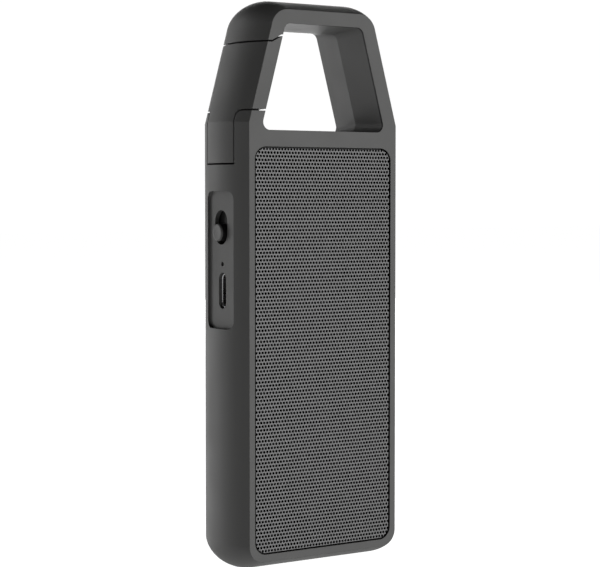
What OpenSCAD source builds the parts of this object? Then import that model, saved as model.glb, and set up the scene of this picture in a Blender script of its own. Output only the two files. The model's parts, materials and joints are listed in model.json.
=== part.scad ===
// Slim clip-on loudspeaker with a carabiner handle.
// +X is the object's right, +Y its back, +Z up. The origin is at the middle of its foot.

/* [Body] */
// Width of the flat front face
face_w = 46.2; // [44:0.1:50]
// Height of the flat front face
face_h = 140.5; // [139:0.1:142]
// Depth from the front face to the back
body_d = 21.2; // [20.6:0.1:22]
// How far the sides bulge out beyond the faces
bulge = 2.8; // [2.4:0.1:3]
// Radius of the two lower corners of the face
low_corner_r = 4.3; // [3:0.1:5]
// Radius of the two upper corners of the face
top_corner_r = 5.0; // [4:0.1:6]
// Height of the shoulder, where the sides start to taper
shoulder_z = 114.5; // [113:0.1:115]
// Taper of the handle's sides
taper = 15.45; // [14.5:0.05:16]

/* [Handle] */
// Height of the window's sill
sill_z = 112.7; // [112:0.1:113]
// Height of the top of the window
window_top_z = 139.75; // [138.5:0.05:140]
// Half width of the window at the shoulder
window_half_w = 19.0; // [18.5:0.1:19.5]
// Radius of the window's corners
window_r = 2.0; // [1.5:0.1:2.5]
// How far the window's walls swell inwards at mid-depth
window_swell = 1.1; // [0.5:0.1:1.3]
// How far the window's sill swells towards mid-depth
sill_swell = 0.3; // [0:0.1:0.6]

/* [Gate] */
// Clear gap round the gate
seam = 0.42; // [0.38:0.01:0.5]
// Height of the lower seam
low_seam_z = 117.9; // [117:0.1:118.5]
// Height of the upper seam
top_seam_z = 134.9; // [134:0.1:135.5]
// Rise of the gate's inner lip at the upper seam
lip_rise = 1.5; // [1:0.1:1.8]
// Width of the hinge tongue
tongue_w = 12.2; // [11.6:0.1:12.4]
// Height of the foot of the hinge tongue
tongue_z = 104.4; // [104.2:0.1:104.6]
// Diameter of the hinge pin
pin_d = 2.0; // [1.8:0.1:2.1]
// Radial running clearance of the gate on its pin
pin_clearance = 0.06; // [0.03:0.01:0.09]

/* [Front] */
// Width of the grille's opening
grille_w = 42.8; // [42:0.1:43]
// Height of the grille's foot
grille_z0 = 4.75; // [4.7:0.05:4.9]
// Height of the grille's top
grille_z1 = 108.5; // [108.3:0.1:108.6]
// Radius of the grille's corners
grille_r = 3.3; // [3:0.1:3.5]

/* [Side controls] */
// Height of the recessed panel's foot
panel_z0 = 62.1; // [61:0.1:63]
// Height of the recessed panel's top
panel_z1 = 97.2; // [96.5:0.1:97.5]
// Width of the recessed panel
panel_w = 12.2; // [11.8:0.1:12.4]
// Distance of the panel's floor from the middle of the body
panel_x = 24.4; // [24.3:0.05:24.6]
// Height of the middle of the switch slot
slot_z = 88.0; // [87.8:0.1:88.2]
// Length of the switch slot
slot_l = 8.8; // [8.6:0.1:9]
// Width of the switch slot
slot_w = 5.8; // [5.6:0.1:6]
// Diameter of the switch knob
knob_d = 4.5; // [4.2:0.1:4.7]
// Travel of the switch knob
knob_travel = 3.2; // [2.8:0.1:3.3]
// Height of the microphone hole
mic_z = 78.65; // [78.4:0.05:78.9]
// Height of the middle of the charging port
port_z = 71.8; // [71.6:0.1:72]

/* [Hidden] */
$fn = 96;

// Outline of the body
eps = 0.05;
half_d = body_d / 2;
face_z0 = bulge;
face_z1 = bulge + face_h;
arc_r = (half_d * half_d + bulge * bulge) / (2 * bulge);
arc_c = arc_r - bulge;
low_c = [face_w / 2 - low_corner_r, face_z0 + low_corner_r];
top_c_z = face_z1 - top_corner_r;
top_c = [
    face_w / 2 - (top_corner_r + (top_c_z - shoulder_z) * sin(taper)) / cos(taper),
    top_c_z
];
reach = 160;

// Lengths that reach outside the body, across it and along it
past = 20;
beyond = 40;
cut = 1;

// Hinge
pivot = [-20.2, 107.4];
tongue_r = 2.9;
heel_drop = 2.2;
heel_z = pivot[1] - heel_drop;
ear_end = 8.4;
spring_x = pivot[0] + 1.55;
spring_r = 1.45;
spring_wire = 0.4;
spring_room = 0.3;
spring_floor_z = 99.6;
spring_turns = 6;
lip_start_x = -16.1;
lip_end_x = -13.3;
tongue_fillet = 1.5;
gate_x = -12;
gate_foot_z = 112;
slot_sweep = 6.5;
heel_room = 1.2;
heel_room_h = 4;
throat_z = 109.4;

// Cavity
front_recess = 1.6;
ledge_y = -half_d + front_recess;
ledge_t = 1.4;
ledge_half_w = 19.9;
ledge_zs = [7.2, 97.5];
ledge_r = 3;
cavity_y = ledge_y + ledge_t;
cavity_half_w = 21.4;
cavity_z0 = 5.7;
cavity_z1 = 99.0;
cavity_r = 2.4;
boss_r = 2.5;
boss_x = 18.2;
boss_zs = [9.0, 95.8];
boss_hole_y = 3;
cover_hole_r = 0.7;

// Side panel
panel_r = 2.2;
pocket_xs = [-23.2, -15];
pocket_w = 10.8;
pocket_zs = [60.3, 96.5];
mic_hole_r = 0.58;
port_l = 9.2;
port_w = 3.35;
flush = 0.01;

// Grille parts
grille_gap = 0.4;
grille_t = 0.5;
grille_y = -half_d + 0.2;
cloth_t = 0.2;
cloth_inset = 0.6;
gasket_t = 0.5;
gasket_inset = 0.5;
gasket_lip = 0.2;

// Back cover
cover_y = half_d - 1.7;
cover_t = 1.4;
cover_gap = 0.2;
cover_gasket_t = 0.3;
cover_gasket_rim = 1.0;
clear_r = 1.05;
head_recess_r = 1.9;
head_recess = 0.8;

// Loudspeaker and radiator
baffle_t = 1.8;
baffle_gap = 0.15;
baffle_y = cavity_y + 0.05;
baffle_back_y = baffle_y + baffle_t;
flange_t = 1.2;
flange_y = baffle_y - flange_t;
flange_r = 19.4;
speaker_z = 28.0;
radiator_z = 72.6;
driver_hole_r = 16.9;
basket_r = 16.6;
basket_inner_r = 14.9;
basket_foot_r = 12.4;
basket_wall = 1.0;
basket_hip_y = -4.6;
basket_back_y = -2.4;
basket_slot = [8, 2.6, 6];
magnet_r = 11.8;
magnet_t = 2.9;
steel_r = 11.4;
steel_t = 1.2;
gap_r = 6.2;
pole_r = 4.7;
coil_r = 5.4;
coil_t = 0.5;
coil_l = 5.4;
coil_y = -5.2;
cone_r = 12.4;
cone_y = flange_y + 0.7;
cone_rim_y = cone_y + 0.95;
surround_r = 14.3;
surround_t = 0.35;
cap_y = -0.4;
cap_r = 6.9;
cap_t = 0.4;
spider_y = -4.65;
spider_t = 0.25;
spider_pitch = 1.8;
spider_folds = 3;
screw_pitch_r = 18.0;
screw_angles = [45 : 90 : 315];
radiator_inner_r = 16.2;
radiator_rim_r = 11.4;
radiator_hub_r = 7.0;
radiator_roll_r = 15.9;
terminal = [6.4, 1.5, 3.2];
terminal_x = 9;
terminal_z = 42;
lead_xs = [10.2, 14.2];
lead_r = 0.45;
lead_bend = 1.5;
lead_z = terminal_z + terminal[2] / 2;
lead_top_z = 51.5;

// Battery
battery = [27, 5.0, 37];
battery_at = [-10.8, -1.0, 53.5];
tab_inset = 2;
tab_y = 1.8;
tab_t = 1.2;
tab_h = 2.6;
pad = [21, 0.7, 31];
pad_at = [-8, 4.0, 56];

// Boards
board_t = 1.0;
board_y = 5.6;
board_half_w = 20.6;
board_zs = [49.5, 93.0];
board_hole_r = 0.8;
side_board_y = 1.75;
side_board_xs = [-22.1, -12.6];
side_board_zs = [60.6, 94.0];
post_sites = [[18.9, 51.5], [18.9, 91.5], [-18.9, 51.5]];
post_r = 1.5;
post_hole_r = 0.6;
post_hole_l = 5;
side_post_sites = [[-15.6, 62.4], [-15.2, 92.4]];
side_post_r = 1.4;
side_post_hole_l = 4;
// x, z, width, height and thickness of each component on the main board
chips = [
    [-9, 66, 14, 12, 1.1], [9, 60, 6, 6, 0.9], [8.5, 72, 4, 4, 1.3], [14.2, 80, 3.2, 5, 0.8],
    [-18, 56, 5, 7.5, 1.2], [-16, 84, 9, 2.5, 1.0]
];
capacitors = 5;
capacitor = [1.6, 0.6, 0.9];
capacitor_pitch = 3;
ribbon_t = 0.2;
ribbon_w = 3;
ribbon_xs = [-16, -13.6];
ribbon_z = 80;
antenna_t = 0.3;
antenna_w = 5.2;
antenna_zs = [62, 90];

// Port and switch
shell_l = 8.94;
shell_w = 3.16;
shell_wall = 0.3;
shell_floor = 0.8;
shell_xs = [-23.7, -16.4];
blade = [4.6, 0.7, 6.6];
blade_inset = 1.9;
knob_y = 0.6;
knob_z = slot_z - slot_l / 2 + 3.1;
knob_x = -22.9;
knob_h = 2.5;
knob_rim = 0.3;
plate_t = 0.5;
plate_w = 7.2;
plate_drop = 6.3;
fork = [2.9, 1.2, 2.2];
switch_case = [3.6, 3.4, 10.8];
switch_x = -21.3;
switch_groove = [3, 1.8, 8.8];
mic = [1.1, 3.25, 3.0];
mic_x = -21.4;
boot = [1.8, 3.4, 3.2];

// ---------- shared shapes ----------

// Rounded rectangle, centred
module round_rect(w, h, r) {
    square([w - 2 * r, h], center = true);
    square([w, h - 2 * r], center = true);
    for (x = [-1, 1], y = [-1, 1])
        translate([x * (w / 2 - r), y * (h / 2 - r)]) circle(r);
}

// Puts a flat XZ outline at depth y0 and gives it thickness t towards the back
module slab(y0, t) {
    translate([0, y0 + t, 0]) rotate([90, 0, 0]) linear_extrude(t) children();
}

// Rounded XZ plate from z0 to z1, centred on x = 0
module plate(w, z0, z1, r, y0, t) {
    slab(y0, t) translate([0, (z0 + z1) / 2]) round_rect(w, z1 - z0, r);
}

// Disc, ring or hole with its axis along Y
module disc(x, z, y0, y1, r) {
    translate([x, y1, z]) rotate([90, 0, 0]) cylinder(h = y1 - y0, r = r);
}

module ring(x, z, y0, y1, r_out, r_in) {
    difference() {
        disc(x, z, y0, y1, r_out);
        disc(x, z, y0 - cut, y1 + cut, r_in);
    }
}

// Revolves a profile about the Y axis through (0, z): profile x is the radius, y is the depth
module turned(z) {
    translate([0, 0, z]) rotate([-90, 0, 0]) rotate_extrude() children();
}

// Section of a side wall: a straight part inwards and an arc outwards
module side_section() {
    root = 6;
    translate([-reach, -half_d]) square([reach - root / 3, body_d]);
    intersection() {
        translate([-arc_c, 0]) circle(arc_r);
        translate([-root, -half_d]) square([root + bulge + cut, body_d]);
    }
}

// Everything inside one bulged side, whose edge passes through (x, z) and leans by lean
module inside_side(x, z, lean) {
    translate([x, 0, z]) rotate([0, -lean, 0]) translate([0, 0, -reach])
        linear_extrude(2 * reach) side_section();
}

// Part of a barrel that rounds a corner: starts straight up and turns outwards by an angle
module corner_barrel(c, r, turn) {
    translate([c[0], 0, c[1]]) rotate([90, 0, 0]) mirror([1, -1, 0])
        rotate_extrude(angle = turn) intersection() {
            translate([r - arc_c, 0]) circle(arc_r);
            translate([0, -half_d]) square([r + bulge + cut, body_d]);
        }
}

// Wedge outside a corner's centre, between the normals at angles a0 and a1
module corner_wedge(c, a0, a1) {
    far = 30;
    tip = 1.6 * far;
    mid = (a0 + a1) / 2;
    slab_y = half_d + cut;
    translate([c[0], slab_y, c[1]]) rotate([90, 0, 0]) linear_extrude(2 * slab_y) polygon([
        [0, 0],
        [far * cos(a0), far * sin(a0)],
        [tip * cos(mid), tip * sin(mid)],
        [far * cos(a1), far * sin(a1)]
    ]);
}

// The whole body as one solid, without its window
module body_blank() {
    difference() {
        intersection() {
            inside_side(face_w / 2, shoulder_z, 0);
            inside_side(face_w / 2, shoulder_z, taper);
            mirror([1, 0, 0]) inside_side(face_w / 2, shoulder_z, 0);
            mirror([1, 0, 0]) inside_side(face_w / 2, shoulder_z, taper);
            inside_side(0, face_z1, 90);
            mirror([0, 0, 1]) inside_side(0, -face_z0, 90);
        }
        for (side = [0, 1]) mirror([side, 0, 0]) {
            corner_wedge(low_c, -90, 0);
            corner_wedge(top_c, taper, 90);
        }
    }
    for (side = [0, 1]) mirror([side, 0, 0]) {
        mirror([0, 0, 1]) corner_barrel([low_c[0], -low_c[1]], low_corner_r, 90);
        // the upper barrel turns on past the leaning side, into the body
        corner_barrel(top_c, top_corner_r, 95 - taper);
    }
}

// Half of the window, from a face to mid-depth; each station is a depth and its share of the swell
module window_half(side) {
    stations = [[half_d + cut, -cut / half_d], [0, 1]];
    hull() for (st = stations, z = [0, 1]) {
        swell = window_swell * st[1];
        low_z = sill_z + sill_swell * st[1] + window_r;
        zc = z == 0 ? low_z : window_top_z - swell - window_r;
        xc = window_half_w - (zc - shoulder_z) * tan(taper) - (swell + window_r) / cos(taper);
        for (x = [-1, 1])
            translate([x * xc, side * st[0], zc]) rotate([90, 0, 0])
                cylinder(h = 2 * flush, r = window_r, center = true, $fn = 40);
    }
}

module window() {
    window_half(-1);
    window_half(1);
}

// XZ outline of the gate, grown by g all round its seams
module gate_side_outline(g) {
    polygon([
        [-beyond, tongue_z - g],
        [pivot[0], tongue_z - g],
        [pivot[0] + tongue_r + g, pivot[1]],
        [pivot[0] + tongue_r + g, gate_foot_z],
        [gate_x, gate_foot_z],
        [gate_x, top_seam_z + lip_rise + g],
        [lip_end_x, top_seam_z + lip_rise + g],
        [lip_start_x, top_seam_z + g],
        [-beyond, top_seam_z + g]
    ]);
}

// YZ outline of the gate: full depth above the lower seam, a tongue below it
module gate_depth_outline(g) {
    w = tongue_w / 2 + g;
    z = low_seam_z - g;
    r = tongue_fillet;
    translate([-past, z]) square([2 * past, beyond]);
    translate([-w, z - past]) square([2 * w, past + cut]);
    for (s = [-1, 1]) difference() {
        translate([s > 0 ? w - eps : -w - r, z - r]) square([r + eps, r + eps]);
        translate([s * (w + r), z - r]) circle(r);
    }
}

module along_x(x0, x1) {
    translate([x0, 0, 0]) rotate([90, 0, 90]) linear_extrude(x1 - x0) children();
}

// Stadium-shaped opening through the side panel
module side_opening(z, w, l) {
    translate([0, 0, z]) along_x(-past - 10, -past) round_rect(w, l, w / 2 - flush);
}

// Block centred on y = 0 and on height z, from x towards +X
module side_block(x, z, size) {
    translate([x, -size[1] / 2, z - size[2] / 2]) cube(size);
}

// ---------- casing ----------

module side_panel_cut() {
    translate([0, 0, (panel_z0 + panel_z1) / 2])
        along_x(-beyond, -panel_x) round_rect(panel_w, panel_z1 - panel_z0, panel_r);
    along_x(pocket_xs[0], pocket_xs[1])
        translate([-pocket_w / 2, pocket_zs[0]]) square([pocket_w, pocket_zs[1] - pocket_zs[0]]);
    translate([0, knob_y, 0]) side_opening(slot_z, slot_w, slot_l);
    side_opening(port_z, port_w, port_l);
    translate([-panel_x - cut, 0, mic_z]) rotate([0, 90, 0]) cylinder(h = past / 2, r = mic_hole_r);
}

// Slot in the housing that the gate and its tongue lie and swing in
module gate_slot() {
    w = tongue_w + 2 * seam;
    r = tongue_r + seam;
    intersection() {
        slab(-past, 2 * past) gate_side_outline(seam);
        along_x(-beyond, -past / 4) gate_depth_outline(seam);
    }
    translate([pivot[0] - 9, -w / 2, pivot[1]]) cube([9 + r + heel_room, w, heel_room_h]);
    translate([pivot[0], -w / 2, throat_z]) cube([r + slot_sweep, w, gate_foot_z - 100]);
    disc(pivot[0], pivot[1], -w / 2, w / 2, r);
}

// Room behind the grille, with a boss in each corner for the cover's screws
module cavity() {
    plate(2 * ledge_half_w, ledge_zs[0], ledge_zs[1], ledge_r, ledge_y - cut, ledge_t + 2 * cut);
    difference() {
        plate(2 * cavity_half_w, cavity_z0, cavity_z1, cavity_r, cavity_y, body_d);
        for (x = [-1, 1], z = [0, 1]) {
            disc(x * boss_x, boss_zs[z], 0, cover_y, boss_r);
            translate([x > 0 ? boss_x : -past - 10, 0, z == 0 ? 0 : boss_zs[1]])
                cube([past + 10 - boss_x, cover_y, boss_zs[0]]);
        }
    }
    for (x = [-1, 1], z = boss_zs) disc(x * boss_x, z, boss_hole_y, cover_y + cut, cover_hole_r);
}

module housing() {
    color("#4a4a49") difference() {
        body_blank();
        window();
        // recesses for the grille and the back cover
        plate(grille_w, grille_z0, grille_z1, grille_r, ledge_y - front_recess - cut, front_recess + cut);
        plate(grille_w, grille_z0, grille_z1, grille_r, cover_y, half_d);
        cavity();
        side_panel_cut();
        gate_slot();
        // hinge pin bore, blind at the front
        disc(pivot[0], pivot[1], -ear_end, half_d, pin_d / 2);
        // pocket of the gate spring
        translate([spring_x, 0, spring_floor_z]) cylinder(h = 8, r = spring_r + spring_room);
    }
}

module gate() {
    color("#4c4c4b") difference() {
        intersection() {
            body_blank();
            slab(-past, 2 * past) gate_side_outline(0);
            along_x(-beyond, -past / 4) gate_depth_outline(0);
        }
        window();
        // the foot of the tongue turns inside the slot: round about the pin, flat at the heel
        difference() {
            translate([pivot[0], -past, pivot[1] - past]) cube([past, 2 * past, past]);
            disc(pivot[0], pivot[1], -past, past, tongue_r);
        }
        translate([pivot[0], -past, heel_z - past]) cube([past, 2 * past, past]);
        translate([pivot[0] + tongue_r, -past, sill_z + 2.5 - past]) cube([past, 2 * past, past]);
        disc(pivot[0], pivot[1], -past, past, pin_d / 2 + pin_clearance);
    }
}

module gate_pin() {
    color("#b9bbbd") disc(pivot[0], pivot[1], -ear_end, ear_end, pin_d / 2);
}

// Round wire wound into a helix of turns coils between z = 0 and z = h
module coil_wire(r, wire_r, h, turns) {
    sides = 8;
    steps = 18 * turns;
    rise = h - 2 * wire_r;
    points = [
        for (i = [0 : steps], k = [0 : sides - 1])
            let (a = 360 * turns * i / steps, b = 360 * k / sides, d = r + wire_r * cos(b))
                [d * cos(a), d * sin(a), wire_r + rise * i / steps + wire_r * sin(b)]
    ];
    walls = [
        for (i = [0 : steps - 1], k = [0 : sides - 1])
            let (n = (k + 1) % sides)
                [i * sides + k, i * sides + n, (i + 1) * sides + n, (i + 1) * sides + k]
    ];
    ends = [
        [for (k = [sides - 1 : -1 : 0]) k],
        [for (k = [0 : sides - 1]) steps * sides + k]
    ];
    polyhedron(points, [for (f = concat(walls, ends)) [for (j = [len(f) - 1 : -1 : 0]) f[j]]]);
}

module gate_spring() {
    color("#a9abad") translate([spring_x, 0, spring_floor_z])
        coil_wire(spring_r - spring_wire / 2, spring_wire / 2, heel_z - spring_floor_z, spring_turns);
}

// Plate that follows the grille's opening, drawn in by inset
module grille_plate(inset, y, t) {
    plate(grille_w - 2 * inset, grille_z0 + inset, grille_z1 - inset, grille_r - inset, y, t);
}

module grille() {
    color("#6f7072") grille_plate(grille_gap, grille_y, grille_t);
}

module dust_cloth() {
    color("#101010") grille_plate(cloth_inset, grille_y + grille_t, cloth_t);
}

module grille_gasket() {
    y = grille_y + grille_t + cloth_t;
    lip = gasket_lip;
    color("#1a1a1a") difference() {
        grille_plate(gasket_inset, y, gasket_t);
        plate(2 * (ledge_half_w - lip), ledge_zs[0] + lip, ledge_zs[1] - lip, ledge_r - lip,
            y - cut, gasket_t + 2 * cut);
    }
}

module back_cover() {
    color("#464645") difference() {
        grille_plate(cover_gap, cover_y + cover_gasket_t, cover_t);
        for (x = [-1, 1], z = boss_zs) {
            disc(x * boss_x, z, cover_y, half_d + cut, clear_r);
            disc(x * boss_x, z, half_d - head_recess, half_d + cut, head_recess_r);
        }
    }
}

module back_gasket() {
    rim = cover_gasket_rim;
    color("#151515") difference() {
        grille_plate(cover_gasket_t, cover_y, cover_gasket_t);
        plate(2 * (cavity_half_w - rim), cavity_z0 + rim, cavity_z1 - rim, cavity_r, cover_y - cut, 2 * cut);
        for (x = [-1, 1], z = boss_zs) disc(x * boss_x, z, cover_y - cut, cover_y + cut, clear_r);
    }
}

// Small pan screw with its head towards +Y or -Y and a cross slot
module screw(x, z, y_seat, length, r, head_r, head_t, dir) {
    y_head = y_seat + dir * head_t;
    y_tip = y_seat - dir * length;
    difference() {
        union() {
            disc(x, z, min(y_seat, y_head), max(y_seat, y_head), head_r);
            disc(x, z, min(y_seat, y_tip), max(y_seat, y_tip), r);
        }
        for (a = [0, 90])
            translate([x, y_head, z]) rotate([0, a, 0])
                cube([1.2 * head_r, head_t, 0.28 * head_r], center = true);
    }
}

module cover_screws() {
    color("#3c3c3c") for (x = [-1, 1], z = boss_zs)
        screw(x * boss_x, z, half_d - head_recess, 5.5, cover_hole_r, 1.6, 0.7, 1);
}

// ---------- loudspeaker ----------

// Repeats its children at the loudspeaker's screw sites
module at_speaker_screws() {
    for (a = screw_angles)
        translate([screw_pitch_r * cos(a), 0, speaker_z + screw_pitch_r * sin(a)]) children();
}

module baffle() {
    g = baffle_gap;
    color("#2b2b2b") difference() {
        union() {
            plate(2 * (cavity_half_w - g), cavity_z0 + g, cavity_z1 - g, cavity_r - g, baffle_y, baffle_t);
            for (p = post_sites) disc(p[0], p[1], baffle_back_y - eps, board_y, post_r);
            for (p = side_post_sites) disc(p[0], p[1], baffle_back_y - eps, side_board_y, side_post_r);
        }
        for (z = [speaker_z, radiator_z])
            disc(0, z, baffle_y - cut, baffle_back_y + cut, driver_hole_r);
        for (p = post_sites) disc(p[0], p[1], board_y - post_hole_l, board_y + cut, post_hole_r);
        for (p = side_post_sites)
            disc(p[0], p[1], side_board_y - side_post_hole_l, side_board_y + cut, post_hole_r);
        at_speaker_screws() disc(0, 0, baffle_y - cut, baffle_back_y + cut, 0.5);
    }
}

module speaker_basket() {
    back_in_y = basket_back_y - basket_wall;
    color("#232323") difference() {
        turned(speaker_z) union() {
            translate([basket_inner_r - 0.3, flange_y]) square([flange_r - basket_inner_r + 0.3, flange_t]);
            polygon([
                [basket_inner_r, flange_y + eps], [basket_r, flange_y + eps],
                [basket_r, basket_hip_y], [basket_foot_r, basket_back_y], [gap_r, basket_back_y],
                [gap_r, back_in_y], [basket_foot_r - 0.5, back_in_y],
                [basket_inner_r, basket_hip_y - 0.8]
            ]);
        }
        at_speaker_screws() disc(0, 0, flange_y - cut, baffle_y + cut, 0.6);
        for (a = [0 : 60 : 300])
            translate([0, 0, speaker_z]) rotate([0, a, 0])
                translate([basket_r - 6.4, basket_hip_y + 0.4, -basket_slot[2] / 2]) cube(basket_slot);
    }
}

module speaker_terminal() {
    color("#c9a227") for (x = lead_xs)
        disc(x, lead_z, baffle_back_y + terminal[1], baffle_back_y + terminal[1] + 0.2, 0.9);
    color("#2a2118") translate([terminal_x, baffle_back_y, terminal_z]) cube(terminal);
}

module speaker_magnet() {
    color("#8b8d90") turned(speaker_z) {
        translate([gap_r + 0.1, basket_back_y]) square([steel_r - gap_r - 0.2, steel_t]);
        translate([gap_r + 0.7, basket_back_y + steel_t]) square([magnet_r - gap_r - 0.7, magnet_t]);
        translate([0, basket_back_y + steel_t + magnet_t]) square([steel_r, steel_t]);
        translate([0, basket_back_y]) square([pole_r, steel_t + magnet_t + eps]);
    }
}

// Voice coil, cone, surround, spider and cap move as one
module voice_coil() {
    color("#b0713a") turned(speaker_z)
        translate([coil_r + 0.15 - coil_t, coil_y]) square([coil_t, coil_l]);
}

module speaker_cone() {
    neck_r = coil_r + 0.15;
    color("#3a3a3a") turned(speaker_z) polygon([
        [neck_r, coil_y], [neck_r, coil_y + 0.5], [cone_r - 0.4, cone_rim_y],
        [cone_r, cone_rim_y], [cone_r, cone_rim_y - 0.35]
    ]);
}

// Section of a half-round roll that bulges forwards between two radii
module roll(r_in, r_out, y, t) {
    mid = (r_in + r_out) / 2;
    half = (r_out - r_in) / 2;
    translate([mid, y]) difference() {
        circle(half);
        circle(half - t);
        translate([-half - cut, 0]) square([2 * (half + cut), half + cut]);
    }
}

module speaker_surround() {
    color("#1d1d1d") turned(speaker_z) roll(cone_r, surround_r, cone_rim_y, surround_t);
}

module dust_cap() {
    rim_y = coil_y - eps;
    color("#454545") turned(speaker_z) difference() {
        translate([0, cap_y]) circle(cap_r);
        translate([0, cap_y]) circle(cap_r - cap_t);
        translate([-past / 2, rim_y]) square(past);
        translate([-past / 2, -past / 2]) square([past / 2, past]);
    }
}

// Pleated cloth ring: flats at two depths joined by short risers
module spider() {
    flat = spider_pitch / 2;
    riser = 0.2;
    color("#c8a15a") turned(speaker_z) for (i = [0 : spider_folds - 1]) {
        r = coil_r + 0.15 + spider_pitch * i;
        translate([r, spider_y]) square([flat, spider_t]);
        translate([r + flat - riser, spider_y]) square([riser, 2 * spider_t]);
        translate([r + flat - riser, spider_y + spider_t]) square([flat + riser, spider_t]);
        translate([r + 2 * flat - riser, spider_y]) square([riser, 2 * spider_t]);
    }
}

module speaker_screws() {
    color("#9a9c9e") at_speaker_screws() screw(0, 0, flange_y, 2.8, 0.5, 1.0, 0.2, -1);
}

module radiator_frame() {
    color("#232323") ring(0, radiator_z, flange_y, flange_y + flange_t, flange_r, radiator_inner_r);
}

module radiator_plate() {
    color("#333333") {
        ring(0, radiator_z, cone_y, cone_y + 0.8, radiator_rim_r, radiator_hub_r);
        disc(0, radiator_z, cone_y, cone_y + 2.2, radiator_hub_r);
    }
}

module radiator_surround() {
    color("#1d1d1d") turned(radiator_z) roll(radiator_rim_r, radiator_roll_r, cone_y + 2.25, 0.4);
}

// Each lead leaves the board, drops below it and turns forwards to the terminal
module speaker_leads() {
    y = board_y - lead_r - eps;
    color("#b03030") for (x = lead_xs) {
        translate([x, y, lead_z + lead_bend]) cylinder(h = lead_top_z - lead_z - lead_bend, r = lead_r);
        translate([x, y - lead_bend, lead_z + lead_bend]) rotate([-90, 0, 90])
            rotate_extrude(angle = 90) translate([lead_bend, 0]) circle(lead_r);
        disc(x, lead_z, baffle_back_y + terminal[1] + 0.2, y - lead_bend, lead_r);
    }
}

// ---------- electronics ----------

module battery_cell() {
    color("#8f9496") translate(battery_at) {
        cube(battery);
        translate([tab_inset, tab_y, battery[2]]) cube([battery[0] - 2 * tab_inset, tab_t, tab_h]);
    }
}

module battery_pad() {
    color("#202020") translate(pad_at) cube(pad);
}

module battery_leads() {
    z = battery_at[2] + battery[2] + tab_h / 2;
    color("#303030") for (x = [-1.6, 1.6]) disc(x, z, battery_at[1] + tab_y + tab_t, board_y, lead_r);
}

module main_board() {
    color("#1f4d33") difference() {
        translate([-board_half_w, board_y, board_zs[0]])
            cube([2 * board_half_w, board_t, board_zs[1] - board_zs[0]]);
        for (p = post_sites) disc(p[0], p[1], board_y - cut, board_y + 2 * cut, board_hole_r);
    }
}

module board_components() {
    y = board_y + board_t;
    color("#303234") {
        for (c = chips) translate([c[0], y, c[1]]) cube([c[2], c[4], c[3]]);
        for (i = [0 : capacitors - 1])
            translate([-6 + capacitor_pitch * i, y, 54]) cube(capacitor);
    }
}

module board_screws() {
    color("#b5b7b9") for (p = post_sites)
        screw(p[0], p[1], board_y + board_t, 4, post_hole_r, 1.3, 0.7, 1);
}

module side_board() {
    size = [side_board_xs[1] - side_board_xs[0], board_t, side_board_zs[1] - side_board_zs[0]];
    color("#1f4d33") difference() {
        translate([side_board_xs[0], side_board_y, side_board_zs[0]]) cube(size);
        for (p = side_post_sites) disc(p[0], p[1], side_board_y - cut, side_board_y + 2 * cut, board_hole_r);
    }
}

module side_board_screws() {
    color("#b5b7b9") for (p = side_post_sites)
        screw(p[0], p[1], side_board_y + board_t, 3, post_hole_r, 1.1, 0.6, 1);
}

module usb_shell() {
    w = shell_w - 2 * shell_wall;
    color("#c4c6c8") translate([0, 0, port_z]) difference() {
        along_x(shell_xs[0], shell_xs[1]) round_rect(shell_w, shell_l, shell_w / 2 - flush);
        along_x(shell_xs[0] - cut, shell_xs[1] - shell_floor)
            round_rect(w, shell_l - 2 * shell_wall, w / 2 - flush);
    }
}

module usb_tongue() {
    color("#141414") side_block(shell_xs[0] + blade_inset, port_z, blade);
}

module switch_body() {
    color("#1b1b1b") difference() {
        side_block(switch_x, slot_z, switch_case);
        side_block(switch_x - 0.7, slot_z, switch_groove);
    }
}

// Slider and knob travel together; the slider's plate fills the slot from behind
module switch_slider() {
    color("#0c0c0c") {
        translate([knob_x, knob_y - plate_w / 2, knob_z - plate_drop])
            cube([plate_t, plate_w, 2 * plate_drop + knob_travel - 3.2]);
        side_block(knob_x + plate_t, knob_z, fork);
    }
}

module switch_knob() {
    r = knob_d / 2;
    color("#525251") translate([knob_x, knob_y, knob_z]) rotate([0, -90, 0]) {
        cylinder(h = knob_h, r = r);
        translate([0, 0, knob_h]) cylinder(h = knob_rim, r1 = r, r2 = r - knob_rim);
    }
}

module microphone() {
    color("#c9b25a") translate([mic_x, side_board_y - mic[1], mic_z - mic[2] / 2]) cube(mic);
}

module microphone_boot() {
    color("#151515") difference() {
        side_block(pocket_xs[0], mic_z, boot);
        translate([pocket_xs[0] - cut, 0, mic_z]) rotate([0, 90, 0]) cylinder(h = 4, r = mic_hole_r);
    }
}

// Flat cable from the side board back to the main board
module ribbon() {
    y = side_board_y + board_t;
    color("#c07a2a") {
        translate([ribbon_xs[0], y, ribbon_z]) cube([ribbon_xs[1] - ribbon_xs[0], ribbon_t, ribbon_w]);
        translate([ribbon_xs[1] - ribbon_t, y, ribbon_z]) cube([ribbon_t, board_y - y, ribbon_w]);
    }
}

module antenna() {
    color("#b8863a") translate([cavity_half_w - antenna_t, 0, antenna_zs[0]])
        cube([antenna_t, antenna_w, antenna_zs[1] - antenna_zs[0]]);
}

housing();
gate();
gate_pin();
gate_spring();
grille();
grille_gasket();
dust_cloth();
baffle();
speaker_basket();
speaker_magnet();
speaker_cone();
speaker_surround();
dust_cap();
voice_coil();
spider();
speaker_terminal();
speaker_screws();
radiator_frame();
radiator_plate();
radiator_surround();
battery_cell();
battery_pad();
main_board();
board_components();
board_screws();
side_board();
side_board_screws();
usb_shell();
usb_tongue();
switch_body();
switch_slider();
switch_knob();
microphone();
microphone_boot();
ribbon();
antenna();
speaker_leads();
battery_leads();
back_cover();
back_gasket();
cover_screws();
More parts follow.
